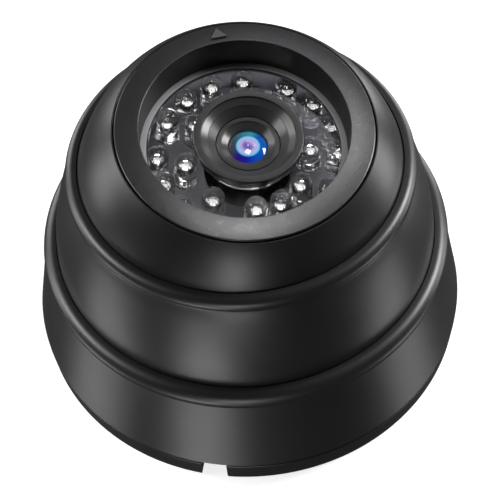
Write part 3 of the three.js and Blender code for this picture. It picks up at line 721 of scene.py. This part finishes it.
def windowPane(s):
    outer = s["cavity"] - 0.3
    raised = s["ledgeRadius"] - 0.2
    outline = [
        (0, s["windowBottom"]), (outer, s["windowBottom"]), (outer, s["windowShoulder"]),
        (raised, s["windowShoulder"]), (raised, s["windowTop"], 0.25), (0, s["windowTop"]),
    ]
    pane = turned("windowPane", outline, sides=160, loop=False)
    pane.data.materials.append(clearWindow)
    pane.data.materials.append(innerBlackAndPaintedShade)
    # painted shade: the pane's clear side wall takes black in place of the glint it would catch
    for face in pane.data.polygons:
        if Vector(face.center[:2]).length > (raised - 0.2) * mm and abs(face.normal.z) < 0.9:
            face.material_index = 1
    moved(pane, headMatrix)
    low, high = s["windowBottom"] - 3, s["windowTop"] + 1.75
    hole = turned("hole", [(0, low), (s["hole"], low), (s["hole"], high), (0, high)], 128, False)
    return cutAway(pane, moved(hole, lensMatrix))


stand(windowPane(headSizes), "head", "clear_window", "window")
print("head shell and window made")

# Lens hood, barrel and glass
lensSizes = {
    "hood": 11.9, "rim": 20.0, "rimInner": 10.25, "neck": 10.6, "flangeLow": 17.85, "windowTop": 17.25,
    "step": 8.65, "stepDepth": 1.35, "mouth": 7.0, "mouthDepth": 3.0, "hoodInner": 8.2, "hoodLow": 12.0,
    "barrel": 5.8, "flange": 6.85, "lightRing": 5.85, "front": 17.0, "rear": -0.5,
    "glass": 4.7, "pupilRim": 4.3, "glassDepth": 1.0, "crown": 1.3, "rearGlass": 3.6,
    "fit": 0.15, "bore": 2.8, "flangeDepth": 3.3,
}


def lensHood(s):
    rim, mouth = s["rim"], s["rim"] - s["mouthDepth"]
    outline = [
        (s["neck"], s["windowTop"] - 2, 0.2), (s["neck"], s["flangeLow"], 0.1),
        (s["hood"], s["flangeLow"], 0.3), (s["hood"], rim, 0.3),
        (s["rimInner"], rim, 0.12), (s["rimInner"] - 0.12, rim - 0.35, 0.1),
        (s["step"] + 0.05, rim - s["stepDepth"] + 0.2, 0.1), (s["step"], rim - s["stepDepth"], 0.05),
        (s["mouth"], mouth, 0.08), (s["mouth"], s["hoodLow"], 0.1), (s["hoodInner"], s["hoodLow"], 0.1),
        (s["hoodInner"], s["windowTop"] - 3, 0.3),
    ]
    hood = turned("lensHood", outline, sides=200)
    hood.data.materials.append(hoodBlack)
    hood.data.materials.append(turnedCone)
    hood.data.materials.append(rimPaintedLight)
    for face in hood.data.polygons:
        inner = Vector(face.center[:2]).length < (s["rimInner"] - 0.14) * mm
        if inner and face.center.z > (mouth - 0.3) * mm:
            face.material_index = 1
        # the rim's top face takes the painted light
        elif face.normal.z > 0.9 and face.center.z > (rim - 0.1) * mm:
            face.material_index = 2
    return moved(hood, lensMatrix)


stand(lensHood(lensSizes), "head", "lens_black", "lens_hood")


def lensBarrel(s):
    front = s["front"]
    seat, rearSeat = s["glass"] + s["fit"], s["rearGlass"] + s["fit"]
    outline = [
        (s["barrel"], s["rear"], 0.2), (s["barrel"], front - s["flangeDepth"] - 0.4),
        (s["flange"], front - s["flangeDepth"], 0.1),
        (s["flange"], front, 0.12), (s["lightRing"], front, 0.08), (s["lightRing"] - 0.1, front - 0.25, 0.06),
        (s["pupilRim"] + 0.1, front - s["glassDepth"], 0.1),
        (s["pupilRim"], front - s["glassDepth"] - 0.2, 0.05),
        (s["pupilRim"], front - 1.5), (seat, front - 1.6), (seat, front - 4.6), (s["bore"], front - 5.0),
        (s["bore"], s["rear"] + 4.5), (rearSeat, s["rear"] + 4.1), (rearSeat, s["rear"]),
    ]
    return moved(turned("lensBarrel", outline, sides=160), lensMatrix)


def frontElement(s):
    low = s["front"] - 4.5
    radius = s["glass"]
    crown = s["crown"]
    curve = (radius ** 2 + crown ** 2) / (2 * crown)
    top = s["front"] - s["glassDepth"] + 0.25
    dome = [(curve * math.sin(a), top - curve + curve * math.cos(a))
            for a in (math.asin(radius / curve) * (1 - k / 16) for k in range(17))]
    outline = [(0, low), (radius, low), *dome[:-1], (0, top)]
    return moved(turned("frontElement", outline, sides=96, loop=False), lensMatrix)


dress(lensBarrel(lensSizes), turnedCone, "lens", "lens_black", "lens_barrel")
paintedReflectionGlass = paintedReflectionGlassMaterial(lensSizes["glass"])
dress(frontElement(lensSizes), paintedReflectionGlass, "lens", "coated_glass", "front_lens")
print("lens made")

# Infrared LEDs: Geometry Nodes place one LED at each point of the frame's LEDs
ledSizes = {
    "radius": 2.5, "flange": 2.75, "flangeHeight": 1.0, "height": 8.7, "leadGap": 1.27, "leadWidth": 0.5,
    "cupRadius": 0.8, "cupTop": 5.3, "cupDepth": 0.5, "cupShift": -0.2, "chip": 0.3,
    "spinSeed": 11, "wobble": 0.05,
    "wireReach": 1.5, "wireArch": 1.1, "wireWidth": 0.06, "wireSteps": 4,
}


def ledBody(s):
    dome = s["height"] - s["radius"]
    outline = [(0, 0), (s["flange"], 0, 0.15), (s["flange"], s["flangeHeight"], 0.15),
               (s["radius"], s["flangeHeight"], 0.12), (s["radius"], dome - 0.4)]
    outline += arc(0, dome, s["radius"], 0, 86, 9) + [(0, s["height"])]
    return turned("ledBody", outline, sides=28, loop=False, smoothAngle=50)


def bar(x, y, z, width, depth, height):
    outline = [(x - width / 2, y - depth / 2), (x + width / 2, y - depth / 2), (x + width / 2, y + depth / 2),
               (x - width / 2, y + depth / 2)]
    return prism("bar", outline, z, z + height)


def ledLeads(s):
    cup = s["cupRadius"]
    top = s["cupTop"]
    anvil = turned("anvil", [
        (0, top - 2.2), (0.45, top - 2.2), (cup, top - 0.7), (cup, top), (cup - 0.12, top),
        (0.42, top - s["cupDepth"]), (0, top - s["cupDepth"]),
    ], 16, False)
    moved(anvil, Matrix.Translation((s["cupShift"] * mm, 0, 0)))
    pieces = [
        anvil,
        bar(-s["leadGap"], 0, 0.1, s["leadWidth"], s["leadWidth"], 2.2),
        bar(-0.75, 0, 2.3, 1.5, 0.5, 1.1),
        bar(s["leadGap"], 0, 0.1, s["leadWidth"], s["leadWidth"], 3.7),
        bar(s["leadGap"] - 0.15, 0, 3.8, 0.9, 0.5, 0.9),
    ]
    # a hair-thin wire arches from the cup to the other post
    steps = [k / s["wireSteps"] for k in range(s["wireSteps"] + 1)]
    foot = top - s["cupDepth"] + 0.35
    wire = [(-0.35 + s["wireReach"] * t, 0, foot + s["wireArch"] * t * (1 - t) * 2) for t in steps]
    for start, end in zip(wire, wire[1:]):
        middle = (Vector(start) + Vector(end)) / 2
        run = Vector(end) - Vector(start)
        link = bar(0, 0, -run.length / 2, s["wireWidth"], s["wireWidth"], run.length)
        turn = Vector((0, 0, 1)).rotation_difference(run).to_matrix().to_4x4()
        pieces.append(moved(link, Matrix.Translation(middle * mm) @ turn))
    return joined("ledLeads", pieces)


def ledChip(s):
    # The die: a ring, painted white as the glint it catches, round a dark middle.
    floor = s["cupTop"] - s["cupDepth"] + 0.02
    high, inner = floor + 0.2, s["chip"] * 0.4
    ring = [(s["chip"], floor), (s["chip"], high), (inner, high), (inner, floor)]
    return moved(turned("chip", ring, 16), Matrix.Translation((s["cupShift"] * mm, 0, 0)))


def ledFieldGroup():
    group, given, result = newGroup("ledField", "GeometryNodeTree", [
        ("INPUT", "Geometry", "NodeSocketGeometry", None),
        ("INPUT", "Body", "NodeSocketObject", None),
        ("INPUT", "Leads", "NodeSocketObject", None),
        ("INPUT", "Chip", "NodeSocketObject", None),
        ("INPUT", "Body Material", "NodeSocketMaterial", None),
        ("INPUT", "Lead Material", "NodeSocketMaterial", None),
        ("INPUT", "Chip Material", "NodeSocketMaterial", None),
        ("INPUT", "Lens Axis", "NodeSocketVector", None),
        ("INPUT", "Wobble", "NodeSocketFloat", 0.03),
        ("INPUT", "Seed", "NodeSocketInt", 0),
        ("OUTPUT", "Geometry", "NodeSocketGeometry", None),
    ])
    at = given.outputs
    seed = at["Seed"]
    aim = addNode(group, "FunctionNodeAlignRotationToVector", {"Vector": at["Lens Axis"]}, axis="Z")
    spin = addNode(group, "FunctionNodeRandomValue", {"Seed": seed}, data_type="FLOAT")
    spin.inputs[3].default_value = 2 * math.pi
    leans = []
    for step in (1.0, 2.0):
        nextSeed = mathNode(group, "ADD", seed, step)
        lean = addNode(group, "FunctionNodeRandomValue", {"Seed": nextSeed}, data_type="FLOAT")
        centred = mathNode(group, "SUBTRACT", lean.outputs[1], 0.5)
        leans.append(mathNode(group, "MULTIPLY", centred, at["Wobble"]))
    own = addNode(group, "ShaderNodeCombineXYZ", {0: leans[0], 1: leans[1], 2: spin.outputs[1]})
    ownTurn = addNode(group, "FunctionNodeEulerToRotation", {0: own.outputs[0]})
    turn = addNode(group, "FunctionNodeRotateRotation",
                   {"Rotation": aim.outputs[0], "Rotate By": ownTurn.outputs[0]}, rotation_space="LOCAL")
    parts = group.nodes.new("GeometryNodeJoinGeometry")
    for label, finish in (("Chip", "Chip Material"), ("Leads", "Lead Material"), ("Body", "Body Material")):
        shape = addNode(group, "GeometryNodeObjectInfo", {"Object": at[label]})
        copies = addNode(group, "GeometryNodeInstanceOnPoints", {
            "Points": at["Geometry"], "Instance": shape.outputs["Geometry"], "Rotation": turn.outputs[0]})
        solid = addNode(group, "GeometryNodeRealizeInstances", {"Geometry": copies.outputs[0]})
        painted = addNode(group, "GeometryNodeSetMaterial", {
            "Geometry": solid.outputs[0], "Material": at[finish]})
        group.links.new(painted.outputs[0], parts.inputs[0])
    group.links.new(parts.outputs[0], result.inputs[0])
    return group


def runNodes(piece, group, values):
    modifier = piece.modifiers.new(group.name, "NODES")
    modifier.node_group = group
    for item in group.interface.items_tree:
        if item.item_type == "SOCKET" and item.in_out == "INPUT" and item.name in values:
            modifier[item.identifier] = values[item.name]
    return freeze(piece)


def infraredLeds(s):
    names = sorted(n for n in frame["nodes"] if n.startswith("led_") and n != "led_board")
    feet = []
    for name in names:
        corners = [v.co for v in frame["nodes"][name].data.vertices]
        low = min(c.dot(lensAxis) for c in corners)
        foot = [c for c in corners if c.dot(lensAxis) < low + 0.05 * mm]
        feet.append(sum(foot, Vector()) / len(foot))
    field = addMesh("infraredLeds", [tuple(f) for f in feet], [])
    shapes = {"Body": ledBody(s), "Leads": ledLeads(s), "Chip": ledChip(s)}
    runNodes(field, ledFieldGroup(), {
        **shapes, "Body Material": clearLed, "Lead Material": leadSilver, "Chip Material": chipPaintedGlint,
        "Lens Axis": tuple(lensAxis), "Wobble": s["wobble"], "Seed": s["spinSeed"],
    })
    for shape in shapes.values():
        bpy.data.objects.remove(shape)
    return field, names


ledField, ledNames = infraredLeds(ledSizes)
stand(ledField, "head", "clear_led", *ledNames)
print("infrared LEDs made:", len(ledNames))

# The frame's own pieces keep their shape and get their finish.
finishes = {
    "housing_black": innerBlackAndPaintedShade, "ball_black": ballBlack, "bezel_black": bezelBlack, "rubber": rubberBlack,
    "steel": zincSteel, "board": boardBlack, "socket_white": socketWhite, "chip": chipBlack,
    "lens_black": hoodBlack, "coated_glass": paintedReflectionGlass, "clear_led": clearLed, "clear_window": clearWindow,
}
for part in frame["record"]["subparts"]:
    node = frame["nodes"][part["node"]]
    node.data.materials.clear()
    node.data.materials.append(finishes[part["material_slot"]])
print("frame pieces finished")


# Studio: a pale floor that only the camera sees, and soft boxes all round
def floorMaterial():
    material, _, shader, _ = newMaterial("paleFloor")
    shader.inputs["Base Color"].default_value = (0.5, 0.5, 0.5, 1)
    shader.inputs["Roughness"].default_value = 1.0
    shader.inputs["Emission Color"].default_value = (1, 1, 1, 1)
    shader.inputs["Emission Strength"].default_value = 0.82
    shader.inputs["Specular IOR Level"].default_value = 0.0
    return material


floor = addMesh("floor", [(-3, -3, 0), (3, -3, 0), (3, 3, 0), (-3, 3, 0)], [(0, 1, 2, 3)])
moved(floor, Matrix.Translation((0, 0, -0.0001)))
floor.data.materials.append(floorMaterial())
for kind in ("diffuse", "glossy", "transmission", "volume_scatter", "shadow"):
    setattr(floor, "visible_" + kind, False)

world = bpy.data.worlds.new("studio")
bpy.context.scene.world = world
world.use_nodes = True
world.node_tree.nodes["Background"].inputs[0].default_value = (1, 1, 1, 1)
world.node_tree.nodes["Background"].inputs[1].default_value = 0.04

# azimuth from the front towards +x and elevation in degrees; width and height in metres; radiance;
# "only" names the pieces that a lamp lights, where it is kept off the rest
bezelPieces = ["bezelRing", "indexMark"]
lensPieces = ["lensHood", "lensBarrel"]
ledPieces = ["infraredLeds", "led_board", "photocell", "windowPane"]
softBoxes = {
    "top": {"azimuth": 145, "elevation": 81, "width": 0.09, "height": 0.09, "radiance": 25,
            "only": bezelPieces + ledPieces + ["frontElement"]},
    "topRight": {"azimuth": 137, "elevation": 60, "width": 0.08, "height": 0.08, "radiance": 16,
                 "only": bezelPieces},
    "lensLeft": {"azimuth": 144, "elevation": 38, "width": 0.06, "height": 0.06, "radiance": 40,
                 "only": lensPieces},
    "lensRight": {"azimuth": -129, "elevation": 50, "width": 0.06, "height": 0.06, "radiance": 60,
                  "only": lensPieces},
    "sparkFront": {"azimuth": -35, "elevation": 58, "width": 0.03, "height": 0.03, "radiance": 240,
                   "only": ledPieces},
    "sparkRight": {"azimuth": 60, "elevation": 55, "width": 0.03, "height": 0.03, "radiance": 200,
                   "only": ledPieces},
    "sparkBack": {"azimuth": -165, "elevation": 60, "width": 0.05, "height": 0.03, "radiance": 120,
                  "only": ledPieces},
    "ledFront": {"azimuth": -10, "elevation": 56, "width": 0.34, "height": 0.16, "radiance": 5,
                 "only": ledPieces},
    "frontLow": {"azimuth": -25, "elevation": -33, "width": 0.16, "height": 0.2, "radiance": 5.0},
    "frontMid": {"azimuth": -8, "elevation": -2, "width": 0.12, "height": 0.19, "radiance": 8},
    "left": {"azimuth": -104, "elevation": 6, "width": 0.17, "height": 0.36, "radiance": 4.2},
    "leftLow": {"azimuth": -79, "elevation": -34, "width": 0.18, "height": 0.2, "radiance": 2.8},
    "leftHigh": {"azimuth": -94, "elevation": 34, "width": 0.24, "height": 0.18, "radiance": 12},
    "backLeft": {"azimuth": -138, "elevation": 14, "width": 0.18, "height": 0.34, "radiance": 5},
    "right": {"azimuth": 106, "elevation": 0, "width": 0.17, "height": 0.38, "radiance": 4.6},
    "rightLow": {"azimuth": 76, "elevation": -34, "width": 0.16, "height": 0.18, "radiance": 3.0},
    "rightHigh": {"azimuth": 107, "elevation": 34, "width": 0.17, "height": 0.18, "radiance": 30},
    "backRight": {"azimuth": 142, "elevation": 0, "width": 0.18, "height": 0.34, "radiance": 4},
}
lampDistance = 0.5
smallLamp = 0.07
subject = Vector((0, 0, 0.03))
for name, box in softBoxes.items():
    lamp = bpy.data.lights.new(name, "AREA")
    lamp.shape = "ELLIPSE" if box["width"] < smallLamp else "RECTANGLE"
    lamp.size = box["width"]
    lamp.size_y = box["height"]
    lamp.energy = box["radiance"] * math.pi * box["width"] * box["height"]
    azimuth, elevation = math.radians(box["azimuth"]), math.radians(box["elevation"])
    flat = math.cos(elevation)
    direction = Vector((math.sin(azimuth) * flat, -math.cos(azimuth) * flat, math.sin(elevation)))
    holder = bpy.data.objects.new(name, lamp)
    bpy.context.scene.collection.objects.link(holder)
    holder.location = subject + direction * lampDistance
    holder.rotation_euler = direction.to_track_quat("Z", "Y").to_euler()
    holder.visible_camera = False
    if "only" in box:
        lit = bpy.data.collections.new(name + "Lit")
        for piece in box["only"]:
            lit.objects.link(bpy.data.objects[piece])
        holder.light_linking.receiver_collection = lit

# A card with a soft gradient that only reflections see: it puts the veil over the window's upper right.
cardSizes = {"place": (0.084, 0.25, 0.494), "facing": (-0.102, -0.46, -0.882), "across": (0.62, 0.72, -0.31),
             "half": 0.11, "fadeStart": -0.035, "fadeEnd": 0.045, "strength": 2.2}


def hazeCard(s):
    half = s["half"]
    card = addMesh("hazeCard", [(-half, -half, 0), (half, -half, 0), (half, half, 0), (-half, half, 0)],
                   [(0, 1, 2, 3)])
    material, tree, shader, output = newMaterial("hazeCard")
    split = addNode(tree, "ShaderNodeSeparateXYZ", {0: objectSpace(tree)})
    ends = {0: split.outputs[0], 1: s["fadeStart"], 2: s["fadeEnd"], 3: 0.0, 4: s["strength"]}
    fade = addNode(tree, "ShaderNodeMapRange", ends, interpolation_type="SMOOTHSTEP")
    glow = addNode(tree, "ShaderNodeEmission", {"Color": (0.93, 0.91, 1.0, 1), "Strength": fade.outputs[0]})
    tree.nodes.remove(shader)
    tree.links.new(glow.outputs[0], output.inputs[0])
    card.data.materials.append(material)
    z = Vector(s["facing"]).normalized()
    x = Vector(s["across"])
    x = (x - z * x.dot(z)).normalized()
    card.matrix_world = axesMatrix(x, z, Vector(s["place"]))
    for ray in ("camera", "diffuse", "transmission", "volume_scatter", "shadow"):
        setattr(card, "visible_" + ray, False)


hazeCard(cardSizes)

# Camera
# place in metres, turn in degrees, focal length in millimetres
cameraSizes = {"place": (0.0008, -0.2245, 0.3322), "turn": (35.61, 2.37, -3.3), "lens": 118}
cameraData = bpy.data.cameras.new("camera")
cameraData.lens = cameraSizes["lens"]
camera = bpy.data.objects.new("camera", cameraData)
bpy.context.scene.collection.objects.link(camera)
camera.location = cameraSizes["place"]
camera.rotation_euler = [math.radians(angle) for angle in cameraSizes["turn"]]
bpy.context.scene.camera = camera
bpy.context.scene.view_settings.view_transform = "Standard"
print("studio set")
